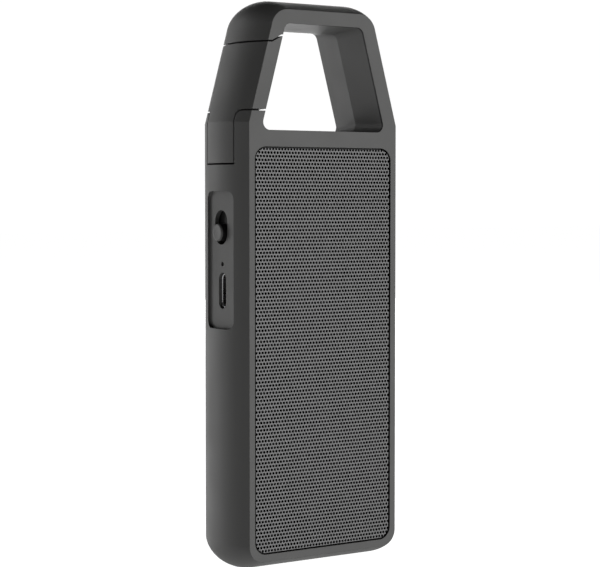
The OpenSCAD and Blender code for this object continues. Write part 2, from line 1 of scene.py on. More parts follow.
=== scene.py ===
"""Looks of a slim clip-on loudspeaker with a carabiner handle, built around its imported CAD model.

The CAD bodies give every place and size. This script adds the perforated grille, the soft pieces, the
rounded switch knob, and the socket's rolled shell and contacts, gives every piece a procedural
material, and sets up a plain studio.
"""

import json
import math

import bmesh
import bpy
import numpy as np
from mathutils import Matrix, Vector
from mathutils.geometry import delaunay_2d_cdt


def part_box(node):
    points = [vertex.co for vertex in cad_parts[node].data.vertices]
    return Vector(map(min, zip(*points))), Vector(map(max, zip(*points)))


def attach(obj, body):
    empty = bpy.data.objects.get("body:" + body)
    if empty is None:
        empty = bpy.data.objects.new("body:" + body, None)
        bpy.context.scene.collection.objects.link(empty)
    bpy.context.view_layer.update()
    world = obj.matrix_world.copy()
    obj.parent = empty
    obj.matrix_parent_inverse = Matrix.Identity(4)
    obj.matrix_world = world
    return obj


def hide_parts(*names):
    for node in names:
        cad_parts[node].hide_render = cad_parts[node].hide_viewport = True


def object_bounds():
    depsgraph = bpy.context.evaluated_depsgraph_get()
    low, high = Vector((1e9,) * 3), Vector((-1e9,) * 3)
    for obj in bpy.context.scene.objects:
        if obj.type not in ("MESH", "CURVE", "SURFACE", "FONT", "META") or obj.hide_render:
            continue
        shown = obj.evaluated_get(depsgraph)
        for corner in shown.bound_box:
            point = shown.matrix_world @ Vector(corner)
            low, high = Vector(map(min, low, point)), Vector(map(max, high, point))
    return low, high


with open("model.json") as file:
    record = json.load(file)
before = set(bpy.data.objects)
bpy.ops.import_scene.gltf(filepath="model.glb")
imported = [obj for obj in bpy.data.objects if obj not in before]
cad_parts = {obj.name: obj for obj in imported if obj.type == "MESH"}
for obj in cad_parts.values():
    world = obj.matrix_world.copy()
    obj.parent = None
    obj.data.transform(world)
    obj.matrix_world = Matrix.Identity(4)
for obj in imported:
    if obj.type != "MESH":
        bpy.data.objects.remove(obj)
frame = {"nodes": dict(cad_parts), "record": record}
cad_low, cad_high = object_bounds()
nodes = frame["nodes"]
colours = {m["slot"]: m["base_color"][:3] for m in frame["record"]["materials"]}
slot_of = {s["node"]: s["material_slot"] for s in frame["record"]["subparts"]}

MM = 0.001


# ---------- camera, light and floor ----------

# Where the camera stands, in millimetres, and how it looks: turned from +Y towards +X, and down
CAMERA_AT = Vector((-270.62, -393.22, 95.93)) * MM
CAMERA_YAW = 34.5
CAMERA_DOWN = 2.752
CAMERA_LENS = 108.84
CAMERA_SENSOR = 36

# Softboxes low around the object: name, yaw and power in watts
LIGHTS = [
    ("rear_left", 330, 3.3),
    ("rear", 0, 1.5),
    ("rear_right", 30, 5.0),
    ("front_right", 150, 7.1),
]
LIGHT_RISE = 5
LIGHT_DISTANCE = 1.2
LIGHT_SIZE = (0.5, 1.2)

# Strengths of the world below and above the horizon, as a light and as the camera sees it
LIGHT_BELOW = 0.516
LIGHT_ABOVE = 0.0
WORLD_SEEN = 1.02
FLOOR_GLOW = 1.0
FLOOR_HALF_WIDTH = 4.0
FLOOR_GAP = 0.2 * MM


def direction(yaw, rise):
    """Unit vector turned yaw degrees from +Y towards +X, and raised by rise degrees."""
    a, e = math.radians(yaw), math.radians(rise)
    return Vector((math.sin(a) * math.cos(e), math.cos(a) * math.cos(e), math.sin(e)))


def add_camera():
    data = bpy.data.cameras.new("camera")
    data.lens = CAMERA_LENS
    data.sensor_width = CAMERA_SENSOR
    data.clip_start, data.clip_end = 0.01, 50
    camera = bpy.data.objects.new("camera", data)
    camera.location = CAMERA_AT
    camera.rotation_mode = "QUATERNION"
    camera.rotation_quaternion = direction(CAMERA_YAW, -CAMERA_DOWN).to_track_quat("-Z", "Y")
    bpy.context.scene.collection.objects.link(camera)
    bpy.context.scene.camera = camera


def add_softbox(name, yaw, power):
    """Rectangular light that stands at a yaw from the object's middle and faces it."""
    data = bpy.data.lights.new(name, "AREA")
    data.shape = "RECTANGLE"
    data.size, data.size_y = LIGHT_SIZE
    data.energy = power
    light = bpy.data.objects.new(name, data)
    away = direction(yaw, LIGHT_RISE)
    light.location = (cad_low + cad_high) / 2 + away * LIGHT_DISTANCE
    light.rotation_mode = "QUATERNION"
    light.rotation_quaternion = (-away).to_track_quat("-Z", "Y")
    bpy.context.scene.collection.objects.link(light)


def add_world():
    """Surround that is white to the eye and lights the object as a white table top would, from below."""
    world = bpy.data.worlds.new("studio")
    world.use_nodes = True
    tree = world.node_tree
    background = tree.nodes["Background"]
    background.inputs["Color"].default_value = (1, 1, 1, 1)
    place = tree.nodes.new("ShaderNodeTexCoord")
    split = tree.nodes.new("ShaderNodeSeparateXYZ")
    by_height = tree.nodes.new("ShaderNodeMapRange")
    horizon = {"From Min": -0.02, "From Max": 0.02, "To Min": LIGHT_BELOW, "To Max": LIGHT_ABOVE}
    for key, value in horizon.items():
        by_height.inputs[key].default_value = value
    seen = tree.nodes.new("ShaderNodeLightPath")
    strength = tree.nodes.new("ShaderNodeMix")
    strength.inputs["B"].default_value = WORLD_SEEN
    tree.links.new(place.outputs["Generated"], split.inputs["Vector"])
    tree.links.new(split.outputs["Z"], by_height.inputs["Value"])
    tree.links.new(seen.outputs["Is Camera Ray"], strength.inputs["Factor"])
    tree.links.new(by_height.outputs["Result"], strength.inputs["A"])
    tree.links.new(strength.outputs["Result"], background.inputs["Strength"])
    bpy.context.scene.world = world


def add_floor():
    """Pale table top. Only the camera sees it; its light on the object is the world's lower half."""
    mesh = bpy.data.meshes.new("floor")
    half = FLOOR_HALF_WIDTH
    corners = [(-half, -half, 0), (half, -half, 0), (half, half, 0), (-half, half, 0)]
    mesh.from_pydata(corners, [], [(0, 1, 2, 3)])
    floor = bpy.data.objects.new("floor", mesh)
    floor.location.z = cad_low.z - FLOOR_GAP
    floor.visible_diffuse = floor.visible_glossy = floor.visible_shadow = False
    bpy.context.scene.collection.objects.link(floor)
    material = bpy.data.materials.new("floor_paper")
    material.use_nodes = True
    shader = material.node_tree.nodes["Principled BSDF"]
    shader.inputs["Base Color"].default_value = (0.9, 0.9, 0.9, 1)
    shader.inputs["Roughness"].default_value = 0.9
    shader.inputs["Specular IOR Level"].default_value = 0.1
    shader.inputs["Emission Color"].default_value = (1, 1, 1, 1)
    shader.inputs["Emission Strength"].default_value = FLOOR_GLOW
    mesh.materials.append(material)


# ---------- materials ----------


class Look:
    """One Principled material, with helpers that wire its texture nodes."""

    def __init__(self, name):
        self.material = bpy.data.materials.new(name)
        self.material.use_nodes = True
        self.tree = self.material.node_tree
        self.shader = self.tree.nodes["Principled BSDF"]
        self.place = self.new("ShaderNodeTexCoord").outputs["Object"]

    def new(self, kind, **settings):
        node = self.tree.nodes.new(kind)
        for key, value in settings.items():
            setattr(node, key, value)
        return node

    def link(self, source, target):
        self.tree.links.new(source, target)

    def set(self, **values):
        """Sets the shader's own sockets; an underscore in a name stands for a space."""
        for key, value in values.items():
            self.shader.inputs[key.replace("_", " ")].default_value = value
        return self

    def noise(self, size, detail=3.0, stretch=(1, 1, 1)):
        """Noise whose grains are about size metres across."""
        mapping = self.new("ShaderNodeMapping")
        mapping.inputs["Scale"].default_value = stretch
        texture = self.new("ShaderNodeTexNoise")
        texture.inputs["Scale"].default_value = 1 / size
        texture.inputs["Detail"].default_value = detail
        self.link(self.place, mapping.inputs["Vector"])
        self.link(mapping.outputs["Vector"], texture.inputs["Vector"])
        return texture.outputs["Fac"]

    def cells(self, size):
        texture = self.new("ShaderNodeTexVoronoi")
        texture.inputs["Scale"].default_value = 1 / size
        self.link(self.place, texture.inputs["Vector"])
        return texture.outputs["Distance"]

    def bands(self, pitch, axis, rings=False):
        """Smooth waves of the given pitch across an axis, or in rings about it."""
        texture = self.new("ShaderNodeTexWave")
        texture.wave_type = "RINGS" if rings else "BANDS"
        if rings:
            texture.rings_direction = axis
        else:
            texture.bands_direction = axis
        texture.inputs["Scale"].default_value = math.pi / (10 * pitch)
        self.link(self.place, texture.inputs["Vector"])
        return texture.outputs["Fac"]

    def math(self, operation, a, b):
        node = self.new("ShaderNodeMath", operation=operation)
        for socket, value in zip(node.inputs, (a, b)):
            if isinstance(value, (int, float)):
                socket.default_value = value
            else:
                self.link(value, socket)
        return node.outputs[0]

    def spread(self, source, low, high, start=0.3, end=0.7):
        """The source between start and end, mapped onto low to high."""
        node = self.new("ShaderNodeMapRange")
        values = {"From Min": start, "From Max": end, "To Min": low, "To Max": high}
        for key, value in values.items():
            node.inputs[key].default_value = value
        self.link(source, node.inputs["Value"])
        return node.outputs["Result"]

    def product(self, first, *others):
        for other in others:
            first = self.math("MULTIPLY", first, other)
        return first

    def coordinate(self, axis):
        split = self.new("ShaderNodeSeparateXYZ")
        self.link(self.place, split.inputs["Vector"])
        return split.outputs[axis]

    def past(self, source, start, end):
        """Nought where the source is at start and one where it is at end, which may be the lower."""
        if end < start:
            return self.spread(source, 1, 0, end, start)
        return self.spread(source, 0, 1, start, end)

    def between(self, axis, start, end, blur):
        """One between two places along an axis; it fades to nought over blur just inside each."""
        source = self.coordinate(axis)
        return self.product(self.past(source, start, start + blur), self.past(source, end, end - blur))

    def darken(self, share, colour):
        """Mixes a flat colour over the base colour by a share from 0 to 1."""
        base = self.shader.inputs["Base Color"]
        mixed = self.new("ShaderNodeMix", data_type="RGBA")
        under, over = [i for i in mixed.inputs if i.type == "RGBA"]
        result = next(o for o in mixed.outputs if o.type == "RGBA")
        self.link(share, mixed.inputs["Factor"])
        self.link(base.links[0].from_socket, under)
        over.default_value = (*colour, 1)
        self.link(result, base)
        return self

    def tint(self, source, colour, spread, start=0.3, end=0.7):
        """Base colour that wanders by a share either side of colour, as the source does."""
        ramp = self.new("ShaderNodeValToRGB")
        ramp.color_ramp.elements[0].position = start
        ramp.color_ramp.elements[1].position = end
        ramp.color_ramp.elements[0].color = (*(c * (1 - spread) for c in colour), 1)
        ramp.color_ramp.elements[1].color = (*(c * (1 + spread) for c in colour), 1)
        self.link(source, ramp.inputs["Fac"])
        self.link(ramp.outputs["Color"], self.shader.inputs["Base Color"])
        return self

    def rough(self, source, low, high, start=0.3, end=0.7):
        self.link(self.spread(source, low, high, start, end), self.shader.inputs["Roughness"])
        return self

    def bump(self, height, depth, strength=1.0, edge=0.0):
        """Relief of the given depth in metres, over edges that are softened by edge metres."""
        node = self.new("ShaderNodeBump")
        node.inputs["Strength"].default_value = strength
        node.inputs["Distance"].default_value = depth
        self.link(height, node.inputs["Height"])
        if edge:
            bevel = self.new("ShaderNodeBevel", samples=8)
            bevel.inputs["Radius"].default_value = edge
            self.link(bevel.outputs["Normal"], node.inputs["Normal"])
        self.link(node.outputs["Normal"], self.shader.inputs["Normal"])
        return self


def moulded(name, colour, roughness, grain=0.00016, depth=0.000006, edge=0.00018, tone=0.035):
    """Spark-eroded moulded plastic: a fine even grain, faint cloudiness and softened edges."""
    look = Look(name)
    clouds = look.noise(0.009, detail=4)
    fine = look.noise(grain, detail=2)
    look.tint(look.math("ADD", look.math("MULTIPLY", clouds, 0.6), look.math("MULTIPLY", fine, 0.4)),
              colour, tone)
    look.rough(clouds, roughness - 0.03, roughness + 0.04)
    look.bump(fine, depth, edge=edge)
    return look.set(Specular_IOR_Level=0.42)


def recess_shadow(look):
    """Painted shadow: the walls round the grille's recess are coloured black from just behind the front
    face.
    """
    low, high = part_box("grille")
    reach = 0.6 * MM
    blur = reach / 10
    return look.darken(look.product(
        look.between("X", low.x - reach, high.x + reach, blur),
        look.between("Z", low.z - reach, high.z + reach, blur),
        look.between("Y", cad_low.y + 0.05 * MM, cad_low.y + RECESS_SHADOW_DEPTH, 0.1 * MM),
    ), BLACK_AND_SHADE)


def window_edge_shade(look):
    """Painted shade: a dark line round the walls of the handle's window, just behind its front edge, except
    on the gate.
    """
    y, z, x = look.coordinate("Y"), look.coordinate("Z"), look.coordinate("X")
    lean = math.tan(math.radians(WINDOW_TAPER))
    half_w = look.math("SUBTRACT", WINDOW_HALF_W, look.product(look.math("SUBTRACT", z, WINDOW_FOOT), lean))
    margin, blur = 0.8 * MM, 0.2 * MM
    return look.darken(look.product(
        look.past(y, cad_low.y + 0.02 * MM, cad_low.y + 0.06 * MM),
        look.past(y, cad_low.y + 0.65 * MM, cad_low.y + 0.45 * MM),
        look.between("Z", WINDOW_FOOT - margin, WINDOW_TOP + margin, blur),
        look.past(look.math("SUBTRACT", half_w, x), -margin, blur - margin),
        look.past(look.math("ADD", half_w, x), margin, margin + 2 * blur),
    ), BLACK_AND_SHADE)


def knob_with_shaded_skirt(name, colour, crown):
    """Moulded knob whose side under its crown is painted black as shade."""
    look = moulded(name, colour, 0.42, edge=0.0001)
    # Painted shade: black on the knob's side, from just behind its rolled rim.
    skirt = look.past(look.coordinate("X"), crown + 0.4 * MM, crown + 0.5 * MM)
    return look.darken(skirt, BLACK_AND_SHADE).material


def painted_metal(name, colour, front):
    """Stoved satin paint over sheet metal, with a light orange peel and hole walls painted near-black as
    shade.
    """
    look = Look(name)
    peel = look.noise(0.0007, detail=2)
    specks = look.noise(0.00012, detail=2)
    look.tint(specks, colour, 0.08)
    # Painted shade: the hole walls and back, from just behind the front face, take the cloth's near-black.
    look.darken(look.past(look.coordinate("Y"), front + 0.02 * MM, front + 0.1 * MM), CLOTH_AND_HOLE_SHADE)
    look.rough(peel, 0.38, 0.46)
    look.bump(peel, 0.000012)
    return look.set(Metallic=0.35, Specular_IOR_Level=0.5).material


def woven(name, colour, pitch, across=("X", "Z"), depth=0.00006):
    """Plain weave: two sets of threads that cross, with lint between them."""
    look = Look(name)
    warp = look.bands(pitch, across[0])
    weft = look.bands(pitch, across[1])
    weave = look.math("MAXIMUM", warp, weft)
    lint = look.noise(pitch * 0.7)
    look.tint(look.math("MULTIPLY", weave, lint), colour, 0.35, 0.2, 0.7)
    look.rough(lint, 0.85, 0.97)
    look.bump(weave, depth)
    return look.set(Sheen_Weight=0.08, Specular_IOR_Level=0.2).material


def foamed(name, colour):
    look = Look(name)
    pores = look.cells(0.0004)
    look.tint(pores, colour, 0.4, 0.1, 0.6)
    look.rough(pores, 0.85, 0.98)
    look.bump(pores, 0.00008)
    return look.set(Specular_IOR_Level=0.15).material


def rubbery(name, colour, roughness=0.62):
    look = Look(name)
    bloom = look.noise(0.003)
    look.tint(bloom, colour, 0.12)
    look.rough(bloom, roughness - 0.06, roughness + 0.1)
    look.bump(look.noise(0.0002), 0.000008)
    return look.set(Specular_IOR_Level=0.35).material


def pressed_paper(name, colour):
    """Cone paper: matted fibres pressed with faint rings."""
    look = Look(name)
    fibres = look.noise(0.0006, detail=6, stretch=(1, 1, 2.5))
    look.tint(fibres, colour, 0.25)
    look.rough(fibres, 0.78, 0.92)
    look.bump(look.math("ADD", fibres, look.math("MULTIPLY", look.noise(0.0001), 0.4)), 0.00003)
    return look.material


def metal(name, colour, roughness, stretch=(1, 1, 1), grain=0.0004):
    """Bare or plated metal with fine scratches drawn out along one axis."""
    look = Look(name)
    scratches = look.noise(grain, detail=5, stretch=stretch)
    look.tint(scratches, colour, 0.06)
    look.rough(scratches, roughness - 0.07, roughness + 0.1)
    look.bump(scratches, 0.000004)
    return look.set(Metallic=1.0).material


def wound_copper(name, colour):
    """Enamelled wire in even turns along the coil's length."""
    look = Look(name)
    turns = look.bands(0.00016, "Y")
    look.tint(turns, colour, 0.3, 0.1, 0.9)
    look.rough(look.noise(0.0008), 0.25, 0.38)
    look.bump(turns, 0.00005)
    return look.set(Metallic=0.9, Coat_Weight=0.5).material


def solder_mask(name, colour):
    """Circuit board: green lacquer over a faint grid of copper tracks."""
    look = Look(name)
    tracks = look.new("ShaderNodeTexBrick")
    tracks.inputs["Scale"].default_value = 260
    tracks.inputs["Mortar Size"].default_value = 0.06
    tracks.inputs["Color1"].default_value = (*colour, 1)
    tracks.inputs["Color2"].default_value = (*(0.8 * c for c in colour), 1)
    tracks.inputs["Mortar"].default_value = (*(1.9 * c for c in colour), 1)
    turn = look.new("ShaderNodeMapping")
    turn.inputs["Rotation"].default_value = (math.pi / 2, 0, 0)
    look.link(look.place, turn.inputs["Vector"])
    look.link(turn.outputs["Vector"], tracks.inputs["Vector"])
    look.link(tracks.outputs["Color"], look.shader.inputs["Base Color"])
    look.rough(look.noise(0.002), 0.2, 0.34)
    look.bump(tracks.outputs["Fac"], 0.00002)
    return look.set(Coat_Weight=0.4).material


def crinkled_foil(name, colour):
    look = Look(name)
    creases = look.cells(0.004)
    look.tint(creases, colour, 0.1, 0.1, 0.8)
    look.rough(look.noise(0.001), 0.3, 0.45)
    look.bump(creases, 0.0001, strength=0.6)
    return look.set(Metallic=0.85).material


def film(name, colour):
    """Thin amber flexible circuit with parallel tracks."""
    look = Look(name)
    tracks = look.bands(0.0005, "Z")
    look.tint(tracks, colour, 0.25, 0.2, 0.8)
    look.rough(look.noise(0.001), 0.25, 0.4)
    look.bump(tracks, 0.00002)
    return look.set(Coat_Weight=0.6).material


# The cloth's near-black below also serves as painted shade on the grille's hole walls, and the black as
# painted shade in the grille's recess, round the window's edge and on the knob's side.
SHELL = (0.118, 0.118, 0.1155)
KNOB = (0.125, 0.125, 0.1235)
GRILLE_PAINT = (0.142, 0.142, 0.143)
CLOTH_AND_HOLE_SHADE = (0.004, 0.004, 0.004)
BLACK_AND_SHADE = (0.009, 0.009, 0.009)
SOCKET_STEEL = (0.8, 0.8, 0.81)

# Front outline of the handle's window, which bounds its edge's painted shade: half its width at the sill,
# the sill's and top's heights, and how far its sides lean in, in degrees
WINDOW_HALF_W = 19.5 * MM
WINDOW_FOOT = 112.7 * MM
WINDOW_TOP = 139.75 * MM
WINDOW_TAPER = 15.45

# How far behind the front face the walls of the grille's recess are painted black as shadow
RECESS_SHADOW_DEPTH = 3 * MM


def make_looks():
    """One material for each slot of the record."""
    c = colours
    return {
        # The shell's plastic carries painted shadow in the grille's recess and a painted shade line round
        # the window's front edge.
        "shell_plastic": recess_shadow(window_edge_shade(moulded("shell_plastic", SHELL, 0.5))).material,
        # The knob's plastic carries painted shade on its side.
        "knob_plastic": knob_with_shaded_skirt("knob_plastic", KNOB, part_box("switch_knob")[0].x),
        "black_plastic": moulded("black_plastic", BLACK_AND_SHADE, 0.55, edge=0.0001, tone=0.12).material,
        # The grille's paint carries painted shade on its hole walls.
        "grille_metal": painted_metal("grille_metal", GRILLE_PAINT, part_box("grille")[0].y),
        "cloth": woven("cloth", CLOTH_AND_HOLE_SHADE, 0.0003),
        "foam": foamed("foam", c["foam"]),
        "rubber": rubbery("rubber", c["rubber"]),
        "cone_paper": pressed_paper("cone_paper", c["cone_paper"]),
        "copper": wound_copper("copper", c["copper"]),
        "spider_cloth": woven("spider_cloth", c["spider_cloth"], 0.0005),
        "magnet_steel": metal("magnet_steel", c["magnet_steel"], 0.3),
        "steel": metal("steel", c["steel"], 0.32),
        "spring_steel": metal("spring_steel", c["spring_steel"], 0.28, grain=0.0002),
        "shell_steel": metal("shell_steel", SOCKET_STEEL, 0.3, stretch=(0.2, 1, 1)),
        "board_green": solder_mask("board_green", c["board_green"]),
        "battery_foil": crinkled_foil("battery_foil", c["battery_foil"]),
        "gold_flex": film("gold_flex", c["gold_flex"]),
        "red_wire": rubbery("red_wire", c["red_wire"], 0.45),
        "black_wire": rubbery("black_wire", c["black_wire"], 0.45),
    }


looks = make_looks()


def dress(piece, slot):
    """Gives a piece its slot's material and no other."""
    piece.data.materials.clear()
    piece.data.materials.append(looks[slot])


# ---------- pieces ----------


def add_piece(name, mesh, slot, body, replaced=()):
    """A finished mesh as a piece that rides on a body, in place of some CAD nodes."""
    piece = bpy.data.objects.new(name, mesh)
    bpy.context.scene.collection.objects.link(piece)
    dress(piece, slot)
    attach(piece, body)
    if replaced:
        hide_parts(*replaced)
    return piece


def rounded_outline(half_w, z0, z1, r, steps=10):
    """Corner points of an upright rounded rectangle in the XZ plane, anticlockwise from the lower right."""
    points = []
    for cx, cz, start in (
        (half_w - r, z0 + r, -90), (half_w - r, z1 - r, 0),
        (r - half_w, z1 - r, 90), (r - half_w, z0 + r, 180),
    ):
        for i in range(steps + 1):
            a = math.radians(start + 90 * i / steps)
            points.append((cx + r * math.cos(a), cz + r * math.sin(a)))
    return points


def inside_rounded(x, z, half_w, z0, z1, r):
    """How far a point lies inside a rounded rectangle; negative outside."""
    dx = abs(x) - (half_w - r)
    dz = abs(z - (z0 + z1) / 2) - ((z1 - z0) / 2 - r)
    if dx > 0 and dz > 0:
        return r - math.hypot(dx, dz)
    return r - max(dx, dz)


# The grille's holes: Ø0.73 mm, staggered, in rows counted from the foot of the object
HOLE_R = 0.365 * MM
HOLE_PITCH = 0.9266 * MM
ROW_PITCH = 0.9385 * MM
HOLE_SIDES = 10


def hole_centre(column, row):
    """Odd rows have a hole on the object's centreline; each row is half a pitch on from the last."""
    return (column + (row + 1) / 2) * HOLE_PITCH, row * ROW_PITCH


def hole_points(x, z):
    turn = 2 * math.pi / HOLE_SIDES
    return [
        (x + HOLE_R * math.cos(turn * (k + 0.5)), z + HOLE_R * math.sin(turn * (k + 0.5)))
        for k in range(HOLE_SIDES)
    ]


class FlatMesh:
    """Triangles in the XZ plane whose points are shared where they coincide."""

    def __init__(self):
        self.points, self.index, self.triangles = [], {}, []

    def point(self, x, z):
        key = (round(x * 1e8), round(z * 1e8))
        if key not in self.index:
            self.index[key] = len(self.points)
            self.points.append((x, z))
        return self.index[key]

    def triangle(self, a, b, c):
        if len({a, b, c}) < 3:
            return
        (ax, az), (bx, bz), (cx, cz) = (self.points[i] for i in (a, b, c))
        area = (bx - ax) * (cz - az) - (cx - ax) * (bz - az)
        self.triangles.append((a, b, c) if area > 0 else (a, c, b))

    def solid(self, name, y_front, y_back):
        """Closed plate: the triangles at both depths, and a wall along every open edge."""
        count = len(self.points)
        directed = {(t[i], t[(i + 1) % 3]) for t in self.triangles for i in range(3)}
        walls = [
            (b, a, a + count, b + count) for a, b in directed if (b, a) not in directed
        ]
        verts = [(x, y_front, z) for x, z in self.points]
        verts += [(x, y_back, z) for x, z in self.points]
        faces = [tuple(t) for t in self.triangles]
        faces += [(a + count, c + count, b + count) for a, b, c in self.triangles]
        mesh = bpy.data.meshes.new(name)
        mesh.from_pydata(verts, [], faces + sorted(walls))
        mesh.validate()
        return mesh


def ring_fill(flat, hole, corners):
    """Triangles between a hole's points and its cell's corners, both going round the same way."""
    inner = [flat.point(*p) for p in hole]
    outer = [flat.point(*p) for p in corners]
    cx = sum(p[0] for p in corners) / len(corners)
    cz = sum(p[1] for p in corners) / len(corners)

    def angles(points):
        return [math.atan2(p[1] - cz, p[0] - cx) % (2 * math.pi) for p in points]

    steps = sorted(
        [(a, 0, i) for i, a in enumerate(angles(hole))]
        + [(a, 1, i) for i, a in enumerate(angles(corners))]
    )
    at = [max((s for s in steps if s[1] == kind))[2] for kind in (0, 1)]
    rings = (inner, outer)
    for _, kind, i in steps:
        flat.triangle(rings[kind][at[kind]], rings[kind][i], rings[1 - kind][at[1 - kind]])
        at[kind] = i


def cell_corners(column, row):
    """The parallelogram that one hole takes up: half a pitch of lean over each row."""
    x, z = hole_centre(column, row)
    w, h, lean = HOLE_PITCH / 2, ROW_PITCH / 2, HOLE_PITCH / 4
    return [(x - w - lean, z - h), (x + w - lean, z - h), (x + w + lean, z + h), (x - w + lean, z + h)]


def fill_border(flat, outline, blocks, holes, room):
    """Triangulates what lies between the whole cells and the plate's outline, round the cut holes."""
    verts, edges, keys = [], [], {}

    def vertex(p):
        key = (round(p[0] * 1e8), round(p[1] * 1e8))
        if key not in keys:
            keys[key] = len(verts)
            verts.append(p)
        return keys[key]

    def loop(points):
        ids = [vertex(p) for p in points]
        edges.extend(zip(ids, ids[1:] + ids[:1]))

    loop(outline)
    border = set()
    for corners in blocks:
        ids = [vertex(p) for p in corners]
        for a, b in zip(ids, ids[1:] + ids[:1]):
            if (b, a) in border:
                border.remove((b, a))
            else:
                border.add((a, b))
    used = {i for e in border for i in e} | set(range(len(outline)))
    keep = sorted(used)
    renumber = {old: new for new, old in enumerate(keep)}
    verts = [verts[i] for i in keep]
    edges = [(renumber[a], renumber[b]) for a, b in edges + sorted(border)]
    for hole in holes:
        start = len(verts)
        verts.extend(hole)
        edges.extend((start + k, start + (k + 1) % len(hole)) for k in range(len(hole)))
    # worked out in millimetres, where the library's single precision is ample
    made, _, faces, origins, _, _ = delaunay_2d_cdt(
        [Vector(p) / MM for p in verts], edges, [], 0, 1e-5
    )
    exact = [
        verts[o[0]] if o else (v.x * MM, v.y * MM) for v, o in zip(made, origins)
    ]
    for face in faces:
        x = sum(exact[i][0] for i in face) / 3
        z = sum(exact[i][1] for i in face) / 3
        if room(x, z):
            flat.triangle(*(flat.point(*exact[i]) for i in face))


def perforated_grille():
    low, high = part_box("grille")
    half_w, z0, z1 = high.x, low.z, high.z
    corner = 2.9 * MM
    margin = 0.03 * MM

    def depth(x, z):
        return inside_rounded(x, z, half_w, z0, z1, corner)

    flat = FlatMesh()
    blocks, cut_holes, whole = [], [], set()
    rows = range(int(z0 / ROW_PITCH) - 1, int(z1 / ROW_PITCH) + 2)
    for row in rows:
        shift = int(row / 2)
        reach = int(half_w / HOLE_PITCH) + 2
        for column in range(-shift - reach, -shift + reach + 1):
            x, z = hole_centre(column, row)
            corners = cell_corners(column, row)
            if all(depth(*p) > margin for p in corners):
                ring_fill(flat, hole_points(x, z), corners)
                blocks.append(corners)
                whole.add((column, row))
            elif depth(x, z) > -HOLE_R:
                cut_holes.append((x, z))

    inner_r = HOLE_R * math.cos(math.pi / HOLE_SIDES)

    def room(x, z):
        """Whether a point is on the plate's metal and outside every whole cell."""
        if depth(x, z) < 0:
            return False
        row = round(z / ROW_PITCH)
        column = round((x - (z - row * ROW_PITCH) / ROW_PITCH * HOLE_PITCH / 2) / HOLE_PITCH
                       - (row + 1) / 2)
        if (column, row) in whole:
            return False
        return all(in_hole(x - hx, z - hz) > 0 for hx, hz in cut_holes
                   if abs(hx - x) < HOLE_PITCH and abs(hz - z) < HOLE_PITCH)

    def in_hole(dx, dz):
        """Distance outside a hole's straight sides; negative within them."""
        turn = 2 * math.pi / HOLE_SIDES
        return max(dx * math.cos(turn * k) + dz * math.sin(turn * k) for k in range(HOLE_SIDES)) - inner_r

    outline = rounded_outline(half_w, z0, z1, corner)
    fill_border(flat, outline, blocks, [hole_points(*c) for c in cut_holes], room)
    mesh = flat.solid("perforated_grille", low.y, high.y)
    return add_piece("perforated_grille", mesh, "grille_metal", "case", ["grille"])


def loft(name, rings, closed_ends=True):
    """Skin through rings of equally many points, with its ends capped by fans."""
    count = len(rings[0])
    verts = [tuple(p) for ring in rings for p in ring]
    faces = []
    for i in range(len(rings) - 1):
        for k in range(count):
            n = (k + 1) % count
            faces.append((i * count + k, (i + 1) * count + k, (i + 1) * count + n, i * count + n))
    if closed_ends:
        for ring_start, flip in ((0, False), ((len(rings) - 1) * count, True)):
            centre = np.mean(verts[ring_start:ring_start + count], axis=0)
            verts.append(tuple(centre))
            for k in range(count):
                a, b = ring_start + k, ring_start + (k + 1) % count
                faces.append((b, a, len(verts) - 1)[:: -1 if flip else 1])
    mesh = bpy.data.meshes.new(name)
    mesh.from_pydata(verts, [], faces)
    shaped = bmesh.new()
    shaped.from_mesh(mesh)
    bmesh.ops.recalc_face_normals(shaped, faces=shaped.faces)
    shaped.to_mesh(mesh)
    shaped.free()
    return mesh


def smooth(mesh, angle=40):
    mesh.shade_smooth()
    mesh.set_sharp_from_angle(angle=math.radians(angle))


def turned_knob():
    """Switch knob: a short round post whose rim is rolled over into a slightly dished top."""
    low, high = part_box("switch_knob")
    r = (high.z - low.z) / 2
    cy, cz = (low.y + high.y) / 2, (low.z + high.z) / 2
    rim, dish, sides = 0.42 * MM, 0.09 * MM, 64
    profile = [(r, high.x)]
    for i in range(9):
        a = math.radians(90 * i / 8)
        profile.append((r - rim * (1 - math.cos(a)), low.x + rim * (1 - math.sin(a))))
    crown = r - rim
    for i in range(1, 9):
        share = 1 - i / 9
        profile.append((crown * share, low.x + dish * (1 - share ** 2) ** 1.5))
    turn = 2 * math.pi / sides
    rings = [
        [(x, cy + q * math.cos(turn * k), cz + q * math.sin(turn * k)) for k in range(sides)]
        for q, x in profile
    ]
    mesh = loft("switch_knob_turned", rings)
    smooth(mesh)
    return add_piece("switch_knob_turned", mesh, "knob_plastic", "switch", ["switch_knob"])


def rolled_socket_shell():
    """Steel shell of the charging socket: a deep cup whose mouth is rolled inwards."""
    low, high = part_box("usb_shell")
    half_w, half_l = (high.y - low.y) / 2, (high.z - low.z) / 2
    middle = (low + high) / 2
    wall, lip, floor, steps = 0.25 * MM, 0.42 * MM, 0.8 * MM, 8
    profile = [(0, high.x)]
    for i in range(steps + 1):
        a = math.radians(180 * i / steps)
        profile.append((lip / 2 * (1 - math.cos(a)), low.x + lip / 2 * (1 - math.sin(a))))
    profile += [(wall, low.x + 1.6 * lip), (wall, high.x - floor)]

    def ring(inset, x):
        r = half_w - inset
        points = []
        for centre, start in ((half_l - half_w, 0), (half_w - half_l, 180)):
            for i in range(13):
                a = math.radians(start + 180 * i / 12)
                points.append((x, middle.y + r * math.cos(a), middle.z + centre + r * math.sin(a)))
        return points

    mesh = loft("socket_shell_rolled", [ring(inset, x) for inset, x in profile])
    smooth(mesh, 50)
    return add_piece("socket_shell_rolled", mesh, "shell_steel", "case", ["usb_shell"])


